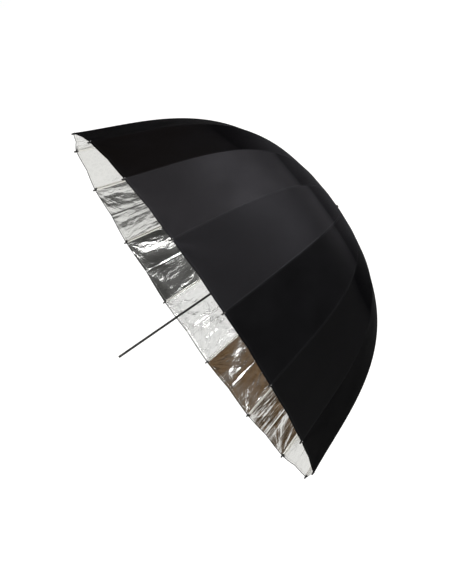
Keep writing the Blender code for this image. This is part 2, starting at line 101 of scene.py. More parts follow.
CLOTH_OFF_ROD = 0.0030      # rod's middle to the silver lining
CLOTH_THICK = 0.00035
CLOTH_START = 0.0045        # the cover's hole at the apex, as a radius beyond the shaft
TIP_STICKS_OUT = 0.0030
HEM_CURVE = 0.004
HEM_POWER = 6               # keeps the hem's curve close to the hem
TIP_ARC = 0.245             # from one tip to the next, along the rim
BANDS = 14
ROWS_IN_BAND = 9
PULL_DEPTH, PULL_REACH = 0.0004, 0.09
WAVE_DEPTH = 0.0003

# Seams: how far from the rib's middle, or from the hem, each line lies.
SEAM_EDGE = (0.0026, 0.0034)
SEAM_STITCH_AT = 0.0022
HEM_EDGE = (0.0085, 0.0092)
HEM_STITCH_AT = 0.0075
STITCH_HALF_WIDTH = 0.0004
STITCH_WAVES = 1570.0       # radians per metre, one stitch in 4 mm
BINDING_WIDTH = 0.0024

# The fittings on a rib, along it from the tip, the root or the clip's middle.
ALONG = 0.9                 # how squarely an end face looks along the rib
TIP_CAP_BACK, TIP_CAP_FRONT = -0.0112, 0.0010
TIP_CAP_RADIUS = 0.00265
TIP_DOME = ((0.0012, 0.72), (0.0006, 0.45))
TIP_CAP_WALL = 0.00055
TIP_SOCKET = 0.0012
TIP_COLLAR_AT = -0.0046
ROOT_FROM, ROOT_TO = 0.0052, 0.0172
ROOT_RADIUS = 0.0026
CRIMPS_AT = (0.0080, 0.0112, 0.0144)
RAISED_RING = 0.00255       # radius of the rings round the cap and the ferrule
CLIP_HALF = 0.007
CLIP_RADIUS = 0.0028
RIVET_RADIUS, RIVET_HEAD = 0.0007, 0.0014
EYE_ALONG = 0.0045          # from a stretcher's eye to the middle of its flattened end
PLATE_EDGE = 0.0003
MERGE_WITHIN = 0.000004
FLAT_WITHIN = math.radians(0.5)

# Tools ---------------------------------------------------------------------------------------


def let_go():
    bpy.ops.object.select_all(action="DESELECT")


def hold(thing):
    let_go()
    thing.select_set(True)
    bpy.context.view_layer.objects.active = thing


def edit_faces(thing, wanted):
    """Goes into edit mode with the faces picked whose middle and normal pass the test."""
    hold(thing)
    bpy.ops.object.mode_set(mode="EDIT")
    bpy.ops.mesh.select_mode(type="FACE")
    bpy.ops.mesh.select_all(action="DESELECT")
    shape = bmesh.from_edit_mesh(thing.data)
    shape.normal_update()
    for face in shape.faces:
        face.select_set(wanted(face.calc_center_median(), face.normal))
    bmesh.update_edit_mesh(thing.data)


def done_editing():
    bpy.ops.object.mode_set(mode="OBJECT")


def rounded(thing, width):
    hold(thing)
    edge = thing.modifiers.new("Round", "BEVEL")
    edge.width = width
    edge.segments = 2
    edge.limit_method = "ANGLE"
    edge.angle_limit = math.radians(40)
    bpy.ops.object.modifier_apply(modifier=edge.name)


def smoothed(thing, angle=35):
    hold(thing)
    bpy.ops.object.shade_smooth_by_angle(angle=math.radians(angle))


def settled(thing):
    """Puts the object's place into its mesh."""
    thing.data.transform(thing.matrix_world)
    thing.matrix_world = Matrix.Identity(4)
    return thing


def joined(things, name):
    let_go()
    for thing in things:
        thing.select_set(True)
    bpy.context.view_layer.objects.active = things[0]
    bpy.ops.object.join()
    things[0].name = name
    return things[0]


def rod_between(name, start, end, radius, sides=14):
    run = Vector(end) - Vector(start)
    turn = Vector((0, 0, 1)).rotation_difference(run).to_euler()
    bpy.ops.mesh.primitive_cylinder_add(
        vertices=sides, radius=radius, depth=run.length, location=(Vector(start) + Vector(end)) / 2,
        rotation=turn,
    )
    made = bpy.context.active_object
    made.name = name
    return settled(made)


def wire_ring(name, middle, ring, wire, turn=(0, 0, 0)):
    bpy.ops.mesh.primitive_torus_add(
        major_radius=ring, minor_radius=wire, major_segments=20, minor_segments=8,
        location=middle, rotation=turn,
    )
    made = bpy.context.active_object
    made.name = name
    return settled(made)


def finish_with(thing, *materials):
    thing.data.materials.clear()
    for made in materials:
        thing.data.materials.append(made)
    return thing


def copy_to_rib(pattern, name, number):
    """The pattern lies along +X from the shaft's axis, and the copy lies at its rib."""
    made = pattern.copy()
    made.data = pattern.data.copy()
    made.name = f"{name}_{number + 1:02d}"
    bpy.context.scene.collection.objects.link(made)
    made.data.transform(Matrix.Rotation(-(FIRST_RIB + number * PITCH), 4, "Y"))
    return made


def drop(thing):
    bpy.data.objects.remove(thing, do_unlink=True)


def refined(node, width, finish, name):
    """A merged copy of a frame node with softened edges, which stands for it."""
    source = frame["nodes"][node]
    made = bpy.data.objects.new(name, source.data.copy())
    bpy.context.scene.collection.objects.link(made)
    hold(made)
    bpy.ops.object.mode_set(mode="EDIT")
    bpy.ops.mesh.select_all(action="SELECT")
    bpy.ops.mesh.remove_doubles(threshold=MERGE_WITHIN)
    bpy.ops.mesh.dissolve_limited(angle_limit=FLAT_WITHIN)
    done_editing()
    if width:
        rounded(made, width)
    smoothed(made)
    finish_with(made, finish)
    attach(made, source["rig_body"])
    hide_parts(node)


# The rib's bow -------------------------------------------------------------------------------

start_point = np.array([HINGE_CIRCLE, HINGE_Y])
rim_point = np.array([RIM_RADIUS, RIM_Y])
lean = np.array([-math.sin(RIM_LEAN), math.cos(RIM_LEAN)])
BOW = np.array([
    start_point,
    start_point + (CROWN_HANDLE, -CROWN_DROP),
    rim_point + RIM_HANDLE * lean,
    rim_point,
])


def bow_at(share):
    share = np.asarray(share, float)[..., None]
    rest = 1 - share
    a, b, c, d = BOW
    return rest**3 * a + 3 * rest**2 * share * b + 3 * rest * share**2 * c + share**3 * d


fine_shares = np.linspace(0, 1, 2001)
fine_points = bow_at(fine_shares)
steps = np.linalg.norm(np.diff(fine_points, axis=0), axis=1)
gone = np.concatenate([[0], np.cumsum(steps)])
BOW_LENGTH = float(gone[-1])
slopes = np.gradient(fine_points, axis=0)
slopes /= np.linalg.norm(slopes, axis=1)[:, None]


def along_bow(distance):
    """The radius and height, and the direction, at a distance along the rib."""
    spot = np.stack([np.interp(distance, gone, fine_points[:, k]) for k in (0, 1)], axis=-1)
    way = np.stack([np.interp(distance, gone, slopes[:, k]) for k in (0, 1)], axis=-1)
    return spot, way


# Materials -----------------------------------------------------------------------------------


class Board:
    """Places and links the nodes of one material or group."""

    def __init__(self, tree):
        self.tree = tree

    def node(self, kind, inputs=None, **settings):
        made = self.tree.nodes.new(kind)
        for name, value in settings.items():
            setattr(made, name, value)
        for name, value in (inputs or {}).items():
            if isinstance(value, bpy.types.NodeSocket):
                self.tree.links.new(value, made.inputs[name])
            else:
                made.inputs[name].default_value = value
        return made

    def math(self, operation, first, second=0.0):
        return self.node("ShaderNodeMath", {0: first, 1: second}, operation=operation).outputs[0]

    def spread(self, value, low, high, new_low, new_high):
        return self.node(
            "ShaderNodeMapRange",
            {"Value": value, "From Min": low, "From Max": high, "To Min": new_low, "To Max": new_high},
        ).outputs["Result"]

    def blend(self, share, first, second):
        made = self.node("ShaderNodeMix", data_type="RGBA")
        for socket, value in ((0, share), (6, first), (7, second)):
            if isinstance(value, bpy.types.NodeSocket):
                self.tree.links.new(value, made.inputs[socket])
            else:
                made.inputs[socket].default_value = value
        return made.outputs[2]

    def noise(self, vector, scale, detail=3.0, roughness=0.5, distortion=0.0):
        return self.node(
            "ShaderNodeTexNoise",
            {"Vector": vector, "Scale": scale, "Detail": detail, "Roughness": roughness,
             "Distortion": distortion},
        ).outputs["Fac"]


def effect(name, inputs, outputs):
    tree = bpy.data.node_groups.new(name, "ShaderNodeTree")
    for label, kind, value in inputs:
        socket = tree.interface.new_socket(label, in_out="INPUT", socket_type=kind)
        if value is not None:
            socket.default_value = value
    for label in outputs:
        tree.interface.new_socket(label, in_out="OUTPUT", socket_type="NodeSocketFloat")
    board = Board(tree)
    return board, board.node("NodeGroupInput"), board.node("NodeGroupOutput")


def make_weave():
    """Threads over and under each other."""
    board, given, out = effect(
        "weave",
        [("Vector", "NodeSocketVector", None), ("Threads", "NodeSocketFloat", 900.0)],
        ["Height", "Shade"],
    )
    waves = []
    for direction in ("X", "Y"):
        wave = board.node(
            "ShaderNodeTexWave",
            {"Vector": given.outputs["Vector"], "Scale": given.outputs["Threads"], "Distortion": 0.6,
             "Detail": 1.0},
            bands_direction=direction,
        )
        waves.append(wave.outputs["Fac"])
    height = board.math("MULTIPLY", waves[0], waves[1])
    cloudy = board.noise(given.outputs["Vector"], 9.0, 4.0)
    board.tree.links.new(height, out.inputs["Height"])
    board.tree.links.new(cloudy, out.inputs["Shade"])
    return board.tree


def make_crinkle():
    """Soft folds with sharper crests, as in coated cloth that was packed away."""
    board, given, out = effect(
        "crinkle",
        [("Vector", "NodeSocketVector", None), ("Scale", "NodeSocketFloat", 20.0)],
        ["Height", "Crest"],
    )
    drift = board.node(
        "ShaderNodeTexNoise", {"Vector": given.outputs["Vector"], "Scale": 14.0, "Detail": 2.0}
    )
    pushed = board.node(
        "ShaderNodeVectorMath", {0: drift.outputs["Color"], "Scale": 0.035}, operation="SCALE"
    )
    moved = board.node(
        "ShaderNodeVectorMath", {0: given.outputs["Vector"], 1: pushed.outputs[0]}, operation="ADD"
    )
    cells = board.node(
        "ShaderNodeTexVoronoi",
        {"Vector": moved.outputs[0], "Scale": given.outputs["Scale"], "Randomness": 1.0},
        feature="DISTANCE_TO_EDGE",
    )
    crest = board.spread(cells.outputs["Distance"], 0.0, 0.25, 1.0, 0.0)
    soft = board.noise(moved.outputs[0], given.outputs["Scale"], 5.0, 0.55)
    height = board.math("ADD", board.math("MULTIPLY", crest, 0.35), soft)
    board.tree.links.new(height, out.inputs["Height"])
    board.tree.links.new(crest, out.inputs["Crest"])
    return board.tree


def make_handling():
    """Rubbed and dusty patches."""
    board, given, out = effect(
        "handling",
        [("Vector", "NodeSocketVector", None), ("Scale", "NodeSocketFloat", 60.0)],
        ["Patches", "Grain"],
    )
    cloudy = board.noise(given.outputs["Vector"], given.outputs["Scale"], 4.0)
    patches = board.spread(cloudy, 0.4, 0.7, 0, 1)
    grain = board.noise(given.outputs["Vector"], 2600.0, 2.0)
    board.tree.links.new(patches, out.inputs["Patches"])
    board.tree.links.new(grain, out.inputs["Grain"])
    return board.tree


WEAVE, CRINKLE, HANDLING = make_weave(), make_crinkle(), make_handling()


def material(name, metallic=0.0, **sockets):
    made = bpy.data.materials.new(name)
    made.use_nodes = True
    board = Board(made.node_tree)
    shader = made.node_tree.nodes["Principled BSDF"]
    shader.inputs["Metallic"].default_value = metallic
    for label, value in sockets.items():
        shader.inputs[label.replace("_", " ")].default_value = value
    return made, board, shader


def place_effect(board, group, vector, **values):
    made = board.node("ShaderNodeGroup", node_tree=group)
    board.tree.links.new(vector, made.inputs["Vector"])
    for label, value in values.items():
        made.inputs[label].default_value = value
    return made


def raise_surface(board, shader, height, distance, strength=1.0):
    bump = board.node("ShaderNodeBump", {"Height": height, "Distance": distance, "Strength": strength})
    board.tree.links.new(bump.outputs["Normal"], shader.inputs["Normal"])


def make_seams():
    """The seam along a rib and the turned hem, with their stitches and the binding at the edge."""
    board, given, out = effect(
        "seams",
        [("Vector", "NodeSocketVector", None), ("Hem", "NodeSocketVector", None),
         ("Binding", "NodeSocketFloat", 0.002)],
        ["Stitch", "Binding", "Height"],
    )
    parts = board.node("ShaderNodeSeparateXYZ", {0: given.outputs["Vector"]})
    across = board.math("ABSOLUTE", parts.outputs["X"])
    from_hem = board.node("ShaderNodeSeparateXYZ", {0: given.outputs["Hem"]})
    seam = board.spread(across, *SEAM_EDGE, 1.0, 0.0)
    line = board.math("COMPARE", across, SEAM_STITCH_AT)
    line.node.inputs[2].default_value = STITCH_HALF_WIDTH
    dashes = board.math("SINE", board.math("MULTIPLY", parts.outputs["Y"], STITCH_WAVES))
    stitch = board.math("MULTIPLY", line, board.spread(dashes, -0.4, 0.0, 0.0, 1.0))
    hem_line = board.math("COMPARE", from_hem.outputs["X"], HEM_STITCH_AT)
    hem_line.node.inputs[2].default_value = STITCH_HALF_WIDTH
    hem_dashes = board.math("SINE", board.math("MULTIPLY", from_hem.outputs["Y"], STITCH_WAVES))
    hem_stitch = board.math("MULTIPLY", hem_line, board.spread(hem_dashes, -0.4, 0.0, 0.0, 1.0))
    turned = board.spread(from_hem.outputs["X"], *HEM_EDGE, 1.0, 0.0)
    binding = board.math("LESS_THAN", from_hem.outputs["X"], given.outputs["Binding"])
    raised = board.math("MAXIMUM", seam, turned)
    sunk = board.math("MAXIMUM", stitch, hem_stitch)
    height = board.math("SUBTRACT", raised, board.math("MULTIPLY", sunk, 0.6))
    for label, value in (("Stitch", sunk), ("Binding", binding), ("Height", height)):
        board.tree.links.new(value, out.inputs[label])
    return board.tree


def make_tip_folds():
    """Lines that fan out from a rib's tip, where the cloth is pulled, and the fold between ribs."""
    board, given, out = effect(
        "tip_folds",
        [("Vector", "NodeSocketVector", None), ("Hem", "NodeSocketVector", None),
         ("Gore", "NodeSocketVector", None), ("Place", "NodeSocketVector", None)],
        ["Height", "Crease", "Pleats"],
    )
    across = board.node("ShaderNodeSeparateXYZ", {0: given.outputs["Vector"]}).outputs["X"]
    to_hem = board.node("ShaderNodeSeparateXYZ", {0: given.outputs["Hem"]}).outputs["X"]
    reach = board.math("SQRT", board.math(
        "ADD", board.math("MULTIPLY", across, across), board.math("MULTIPLY", to_hem, to_hem)
    ))
    fan = board.math("ARCTAN2", across, board.math("ADD", to_hem, 0.012))
    place = board.node("ShaderNodeSeparateXYZ", {0: given.outputs["Place"]})
    which_tip = board.math("ADD", place.outputs["X"], board.math("MULTIPLY", place.outputs["Z"], 1.7))
    spot = board.node("ShaderNodeCombineXYZ", {
        "X": board.math("MULTIPLY", fan, 1.3), "Y": board.math("MULTIPLY", reach, 2.0), "Z": which_tip,
    })
    lines = board.noise(spot.outputs[0], 3.0, 2.0, 0.45)
    near = board.spread(reach, 0.03, 0.22, 1.0, 0.0)
    weight = board.math("MULTIPLY", board.math("MULTIPLY", near, near), reach)
    fold = board.node("ShaderNodeSeparateXYZ", {0: given.outputs["Gore"]}).outputs["X"]
    crease = board.spread(fold, 0.0, 0.05, 1.0, 0.0)
    spot = board.node("ShaderNodeCombineXYZ", {
        "X": board.math("MULTIPLY", across, 9.0), "Y": to_hem,
        "Z": board.math("MULTIPLY", which_tip, 2.0),
    })
    pleats = board.noise(spot.outputs[0], 2.6, 3.0, 0.5)
    board.tree.links.new(board.math("MULTIPLY", lines, weight), out.inputs["Height"])
    board.tree.links.new(crease, out.inputs["Crease"])
    board.tree.links.new(pleats, out.inputs["Pleats"])
    return board.tree


SEAMS, TIP_FOLDS = make_seams(), make_tip_folds()


def sewn(board, uv, binding):
    seams = place_effect(board, SEAMS, uv, Binding=binding)
    hem = board.node("ShaderNodeUVMap", uv_map="hem").outputs["UV"]
    board.tree.links.new(hem, seams.inputs["Hem"])
    return seams


def black_cloth():
    made, board, shader = material("black_cloth")
    uv = board.node("ShaderNodeUVMap", uv_map="cloth").outputs["UV"]
    weave = place_effect(board, WEAVE, uv, Threads=420.0)
    seams = sewn(board, uv, 0.0)
    tone = board.spread(weave.outputs["Shade"], 0.3, 0.7, 0.0, 1.0)
    cloth = board.blend(tone, (0.0016, 0.0016, 0.0019, 1), (0.0026, 0.0026, 0.0031, 1))
    colour = board.blend(seams.outputs["Stitch"], cloth, (0.030, 0.030, 0.031, 1))
    board.tree.links.new(colour, shader.inputs["Base Color"])
    board.tree.links.new(board.spread(tone, 0, 1, 0.46, 0.56), shader.inputs["Roughness"])
    threads = board.math("MULTIPLY", weave.outputs["Height"], 0.2)
    height = board.math("ADD", threads, seams.outputs["Height"])
    raise_surface(board, shader, height, 0.0003, 0.6)
    # a woven cloth hides its own threads from the side, so it hardly shines there
    facing = board.node("ShaderNodeLayerWeight", {"Blend": 0.5}).outputs["Facing"]
    board.tree.links.new(
        board.spread(facing, 0.29, 0.64, 0.17, 0.003), shader.inputs["Specular IOR Level"]
    )
    return made


def silver_lining():
    made, board, shader = material("silver_lining")
    place = board.node("ShaderNodeTexCoord").outputs["Object"]
    uv = board.node("ShaderNodeUVMap", uv_map="cloth").outputs["UV"]
    hem = board.node("ShaderNodeUVMap", uv_map="hem").outputs["UV"]
    gore = board.node("ShaderNodeUVMap", uv_map="gore").outputs["UV"]
    seams = sewn(board, uv, BINDING_WIDTH)
    folds = place_effect(board, TIP_FOLDS, uv)
    for label, value in (("Hem", hem), ("Gore", gore), ("Place", place)):
        board.tree.links.new(value, folds.inputs[label])
    broad = place_effect(board, CRINKLE, place, Scale=7.0)
    small = place_effect(board, CRINKLE, place, Scale=42.0)
    fine = place_effect(board, CRINKLE, place, Scale=150.0)
    height = broad.outputs["Height"]
    for layer, share in (
        (small.outputs["Height"], 0.032), (fine.outputs["Height"], 0.008),
        (seams.outputs["Height"], 0.05), (folds.outputs["Height"], 12.0),
        (folds.outputs["Crease"], 0.14), (folds.outputs["Pleats"], 0.8),
    ):
        height = board.math("ADD", height, board.math("MULTIPLY", layer, share))
    tone = board.blend(small.outputs["Crest"], (0.775, 0.775, 0.76, 1), (0.805, 0.805, 0.79, 1))
    colour = board.blend(seams.outputs["Binding"], tone, (0.006, 0.006, 0.006, 1))
    board.tree.links.new(colour, shader.inputs["Base Color"])
    shine = board.spread(broad.outputs["Crest"], 0, 1, 0.15, 0.25)
    board.tree.links.new(shine, shader.inputs["Roughness"])
    metal_share = board.math("SUBTRACT", 1.0, seams.outputs["Binding"])
    board.tree.links.new(metal_share, shader.inputs["Metallic"])
    raise_surface(board, shader, height, 0.0055, 0.75)
    return made


def fibreglass():
    made, board, shader = material("white_rod", Specular_IOR_Level=0.5)
    place = board.node("ShaderNodeTexCoord").outputs["Object"]
    fibres = board.noise(place, 900.0, 3.0)
    rubbed = place_effect(board, HANDLING, place, Scale=40.0)
    colour = board.blend(fibres, (0.74, 0.72, 0.66, 1), (0.86, 0.85, 0.80, 1))
    board.tree.links.new(colour, shader.inputs["Base Color"])
    board.tree.links.new(
        board.spread(rubbed.outputs["Patches"], 0, 1, 0.28, 0.42), shader.inputs["Roughness"]
    )
    raise_surface(board, shader, fibres, 0.00005, 0.4)
    return made


def metal(name, dark, light, low, high, metallic):
    made, board, shader = material(name, metallic=metallic)
    place = board.node("ShaderNodeTexCoord").outputs["Object"]
    rubbed = place_effect(board, HANDLING, place, Scale=70.0)
    drawn = board.node("ShaderNodeMapping", {"Vector": place, "Scale": (1.0, 0.02, 1.0)})
    lines = board.noise(drawn.outputs["Vector"], 1800.0, 2.0)
    colour = board.blend(rubbed.outputs["Patches"], (*dark, 1), (*light, 1))
    board.tree.links.new(colour, shader.inputs["Base Color"])
    board.tree.links.new(board.spread(lines, 0.3, 0.7, low, high), shader.inputs["Roughness"])
    raise_surface(board, shader, lines, 0.00002, 0.4)
    return made


def plastic(name, dark, light):
    made, board, shader = material(name, Specular_IOR_Level=0.45)
    place = board.node("ShaderNodeTexCoord").outputs["Object"]
    rubbed = place_effect(board, HANDLING, place, Scale=90.0)
    colour = board.blend(rubbed.outputs["Patches"], (*dark, 1), (*light, 1))
    board.tree.links.new(colour, shader.inputs["Base Color"])
    board.tree.links.new(
        board.spread(rubbed.outputs["Patches"], 0, 1, 0.38, 0.52), shader.inputs["Roughness"]
    )
    raise_surface(board, shader, rubbed.outputs["Grain"], 0.00006, 0.5)
    return made


def thread(name, dark, light):
    made, board, shader = material(name, Specular_IOR_Level=0.2, Sheen_Weight=0.2)
    place = board.node("ShaderNodeTexCoord").outputs["Object"]
    twist = board.noise(place, 1500.0, 2.0, distortion=1.0)
    board.tree.links.new(board.blend(twist, (*dark, 1), (*light, 1)), shader.inputs["Base Color"])
    board.tree.links.new(board.spread(twist, 0.3, 0.7, 0.75, 0.9), shader.inputs["Roughness"])
    raise_surface(board, shader, twist, 0.0001, 0.6)
    return made


CLOTH, SILVER, ROD = black_cloth(), silver_lining(), fibreglass()
BLACK_STEEL = metal("black_steel", (0.018, 0.018, 0.018), (0.030, 0.029, 0.028), 0.28, 0.40, 0.75)
BRIGHT_STEEL = metal("bright_wire", (0.50, 0.50, 0.50), (0.66, 0.66, 0.65), 0.20, 0.34, 1.0)
MOULDED = plastic("moulded_black", (0.016, 0.016, 0.014), (0.026, 0.026, 0.023))
OLIVE = plastic("cap_black", (0.022, 0.024, 0.018), (0.034, 0.036, 0.028))
BLACK_THREAD = thread("black_thread", (0.006, 0.006, 0.006), (0.020, 0.020, 0.020))
WHITE_THREAD = thread("white_thread", (0.60, 0.60, 0.58), (0.80, 0.80, 0.78))


# The cover -----------------------------------------------------------------------------------

half_steps = np.concatenate([[0, 0.015, 0.045], np.linspace(0.09, 0.94, 11), [1.0]])
ACROSS = np.concatenate([-half_steps[:0:-1], half_steps])
HEM_AT = BOW_LENGTH - TIP_STICKS_OUT
DOWN = np.linspace(0.0, 1.0, BANDS * ROWS_IN_BAND + 1)


def ripple(angle, distance):
    """How far the cloth lies off its taut shape: soft folds pulled from the tips, and broad waves."""
    to_rim = HEM_AT - distance
    gore = (angle - FIRST_RIB) / PITCH
    across = gore - np.round(gore)          # 0 at a rib, half at the fold line
    from_rib = np.abs(across)
    reach = np.hypot(to_rim, from_rib * TIP_ARC)
    fan = np.arctan2(from_rib * TIP_ARC, to_rim + 0.01)
    number = np.round(gore)
    pull = np.sin(fan * (9 + 2 * np.cos(number * 2.1)) + number * 1.7) * np.exp(-reach / PULL_REACH)
    pull = pull * np.clip(from_rib / 0.06, 0, 1) * np.clip((0.5 - from_rib) / 0.2, 0, 1) ** 2
    x, y = np.cos(angle) * distance, np.sin(angle) * distance
    broad = np.sin(13 * x + 5 * np.sin(7 * y)) * np.sin(11 * y + 2.0 + 3 * np.sin(5 * x))
    broad = broad * np.clip(from_rib / 0.12, 0, 1) * np.clip(distance / 0.25, 0, 1)
    return PULL_DEPTH * pull + WAVE_DEPTH * broad


def cover_points(number):
    """The lining side of the cloth over one rib, with the distance down it."""
    side, down = np.meshgrid(ACROSS, DOWN)
    distance = CLOTH_START + (HEM_AT - CLOTH_START) * down - HEM_CURVE * side**2 * down**HEM_POWER
    spot, way = along_bow(distance)
    radius = spot[..., 0] - CLOTH_OFF_ROD * way[..., 1]
    height = spot[..., 1] + CLOTH_OFF_ROD * way[..., 0]
    halfway = radius * math.cos(HALF_GORE)
    share = np.abs(side)
    x = radius * (1 - share) + halfway * math.cos(HALF_GORE) * share
    z = np.sign(side) * halfway * math.sin(HALF_GORE) * share
    angle = FIRST_RIB + number * PITCH + side * HALF_GORE
    off = ripple(angle, distance)
    x = x - off * way[..., 1]
    height = height + off * way[..., 0]
    return np.stack([x, height, z], axis=-1), distance, side


def grid_normals(points):
    """Normals away from the hollow."""
    down = np.gradient(points, axis=0)
    across = np.gradient(points, axis=1)
    normal = np.cross(across, down)
    normal /= np.maximum(np.linalg.norm(normal, axis=2), 1e-12)[..., None]
    flip = np.sign((normal[..., 1] + 0.4 * normal[..., 0]).mean())
    return normal * flip


def band_faces(columns):
    """The faces of a band, first its two sides and then its edge, and the material of each."""
    count = (ROWS_IN_BAND + 1) * columns
    faces, kinds = [], []
    for row in range(ROWS_IN_BAND):
        for column in range(columns - 1):
            a = row * columns + column
            b, c, d = a + 1, a + columns + 1, a + columns
            faces.append((a, d, c, b))
            faces.append((count + a, count + b, count + c, count + d))
            kinds += [1, 0]
    border = [*range(columns)]
    border += [row * columns + columns - 1 for row in range(1, ROWS_IN_BAND + 1)]
    border += [ROWS_IN_BAND * columns + column for column in range(columns - 2, -1, -1)]
    border += [row * columns for row in range(ROWS_IN_BAND - 1, 0, -1)]
    for first, second in zip(border, border[1:] + border[:1]):
        faces.append((first, second, count + second, count + first))
        kinds.append(0)
    return faces, kinds


def add_uv(mesh, name, first, second):
    """A UV map from a value for each point of the lining, which the outside shares."""
    corner = np.zeros(len(mesh.loops), int)
    mesh.loops.foreach_get("vertex_index", corner)
    corner %= len(first)
    layer = mesh.uv_layers.new(name=name)
    layer.data.foreach_set("uv", np.stack([first[corner], second[corner]], 1).ravel())


def shade_sides(mesh, normals, columns):
    """Gives both sides the cloth's normals and leaves the edge flat."""
    corner = np.zeros(len(mesh.loops), int)
    mesh.loops.foreach_get("vertex_index", corner)
    count = len(normals)
    outward = normals[corner % count]
    facing = np.where((corner >= count)[:, None], outward, -outward)
    mesh.polygons.foreach_set("use_smooth", [True] * len(mesh.polygons))
    edge_from = 2 * ROWS_IN_BAND * (columns - 1) * 4
    facing[edge_from:] = 0
    mesh.normals_split_custom_set(facing.tolist())
    mesh.update()


def make_cover(number):
    points, distance, side = cover_points(number)
    normals = grid_normals(points)
    outer = points + CLOTH_THICK * normals
    turn = np.array(Matrix.Rotation(-(FIRST_RIB + number * PITCH), 3, "Y"))
    columns = len(ACROSS)
    faces, kinds = band_faces(columns)
    made = []
    for band in range(BANDS):
        rows = slice(band * ROWS_IN_BAND, (band + 1) * ROWS_IN_BAND + 1)
        inside, outside = points[rows].reshape(-1, 3), outer[rows].reshape(-1, 3)
        corners = np.concatenate([inside, outside]) @ turn.T
        mesh = bpy.data.meshes.new(f"cover_{number + 1:02d}_{band + 1:02d}")
        mesh.from_pydata(corners.tolist(), [], faces)
        piece = bpy.data.objects.new(mesh.name, mesh)
        bpy.context.scene.collection.objects.link(piece)
        finish_with(piece, CLOTH, SILVER)
        mesh.polygons.foreach_set("material_index", kinds)
        u = points[rows][..., 2].reshape(-1)
        v = distance[rows].reshape(-1)
        to_hem = (HEM_AT - HEM_CURVE * side[rows] ** 2 - distance[rows]).reshape(-1)
        from_fold = (1 - np.abs(side[rows])).reshape(-1)
        add_uv(mesh, "cloth", u, v)
        add_uv(mesh, "hem", to_hem, u)
        add_uv(mesh, "gore", from_fold, v)
        shade_sides(mesh, normals[rows].reshape(-1, 3) @ turn.T, columns)
        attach(piece, f"rib_{number + 1:02d}")
        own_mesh(piece)
        made.append(piece)
    return made


# Ribs ----------------------------------------------------------------------------------------


def rib_rod():
    path = bpy.data.curves.new("rod_path", "CURVE")
    path.dimensions = "3D"
    path.bevel_depth = ROD_RADIUS
    path.bevel_resolution = 3
    path.use_fill_caps = True
    path.resolution_u = path.render_resolution_u = 1
    run = path.splines.new("POLY")
    distances = np.linspace(0.0075, BOW_LENGTH - 0.001, 60)
    spots, _ = along_bow(distances)
    run.points.add(len(spots) - 1)
    for point, spot in zip(run.points, spots):
        point.co = (*spot, 0, 1)
    thing = bpy.data.objects.new("rod_pattern", path)
    bpy.context.scene.collection.objects.link(thing)
    hold(thing)
    bpy.ops.object.convert(target="MESH")
    made = bpy.context.active_object
    smoothed(made, 40)
    return finish_with(made, ROD)


def on_rib(thing, distance):
    """Turns a piece drawn along +X at the origin to lie along the rib."""
    spot, way = along_bow(np.array([distance]))
    turn = Matrix.Rotation(math.atan2(way[0, 1], way[0, 0]), 4, "Z")
    thing.data.transform(Matrix.Translation((*spot[0], 0)) @ turn)
    return thing


def inset_ends(thing, thickness):
    edit_faces(thing, lambda middle, normal: abs(normal.x) > ALONG)
    bpy.ops.mesh.inset(thickness=thickness)
    done_editing()


def plate_at(place, size, aim=0.0):
    bpy.ops.mesh.primitive_cube_add(size=1, location=place, rotation=(0, 0, aim))
    made = bpy.context.active_object
    made.scale = size
    bpy.context.view_layer.update()
    settled(made)
    rounded(made, PLATE_EDGE)
    return made


def tip_cap():
    """The cap pressed on the rib's end, domed in front and with a socket behind."""
    made = rod_between("tip_pattern", (TIP_CAP_BACK, 0, 0), (TIP_CAP_FRONT, 0, 0), TIP_CAP_RADIUS, 18)
    edit_faces(made, lambda middle, normal: normal.x > ALONG)
    end = TIP_CAP_FRONT
    for step, narrower in TIP_DOME:
        end += step
        bpy.ops.mesh.extrude_region_move(TRANSFORM_OT_translate={"value": (step, 0, 0)})
        bpy.ops.transform.resize(value=(1, narrower, narrower), center_override=(end, 0, 0))
    done_editing()
    edit_faces(made, lambda middle, normal: normal.x < -ALONG)
    bpy.ops.mesh.inset(thickness=TIP_CAP_WALL)
    bpy.ops.mesh.extrude_region_move(TRANSFORM_OT_translate={"value": (TIP_SOCKET, 0, 0)})
    done_editing()
    rounded(made, 0.00025)
    collar = wire_ring("tip_collar", (TIP_COLLAR_AT, 0, 0), RAISED_RING, 0.00035, (0, math.pi / 2, 0))
    made = joined([made, collar], "tip_pattern")
    smoothed(made)
    return finish_with(on_rib(made, BOW_LENGTH), MOULDED)


def tip_stitch():
    """Thread that ties the cover's corner to the tip cap."""
    rings = [
        wire_ring("stitch", (place, 0.0004, 0), 0.0030, 0.00028, (0, math.pi / 2 + lean_by, 0))
        for place, lean_by in ((-0.0062, 0.10), (-0.0067, -0.08), (-0.0073, 0.05))
    ]
    made = joined(rings, "stitch_pattern")
    smoothed(made)
    return finish_with(on_rib(made, BOW_LENGTH), BLACK_THREAD)


def tip_knot():
    """The knot that ends that thread, on the outside of the cover."""
    rings = [
        wire_ring("knot", (-0.0066 + along, 0.0038, 0), 0.0006, 0.0003, (lean_by, 0.4, 0))
        for along, lean_by in ((-0.0003, 0.3), (0.0, 1.2), (0.0003, 2.2))
    ]
    made = joined(rings, "knot_pattern")
    smoothed(made)
    return finish_with(on_rib(made, BOW_LENGTH), WHITE_THREAD)


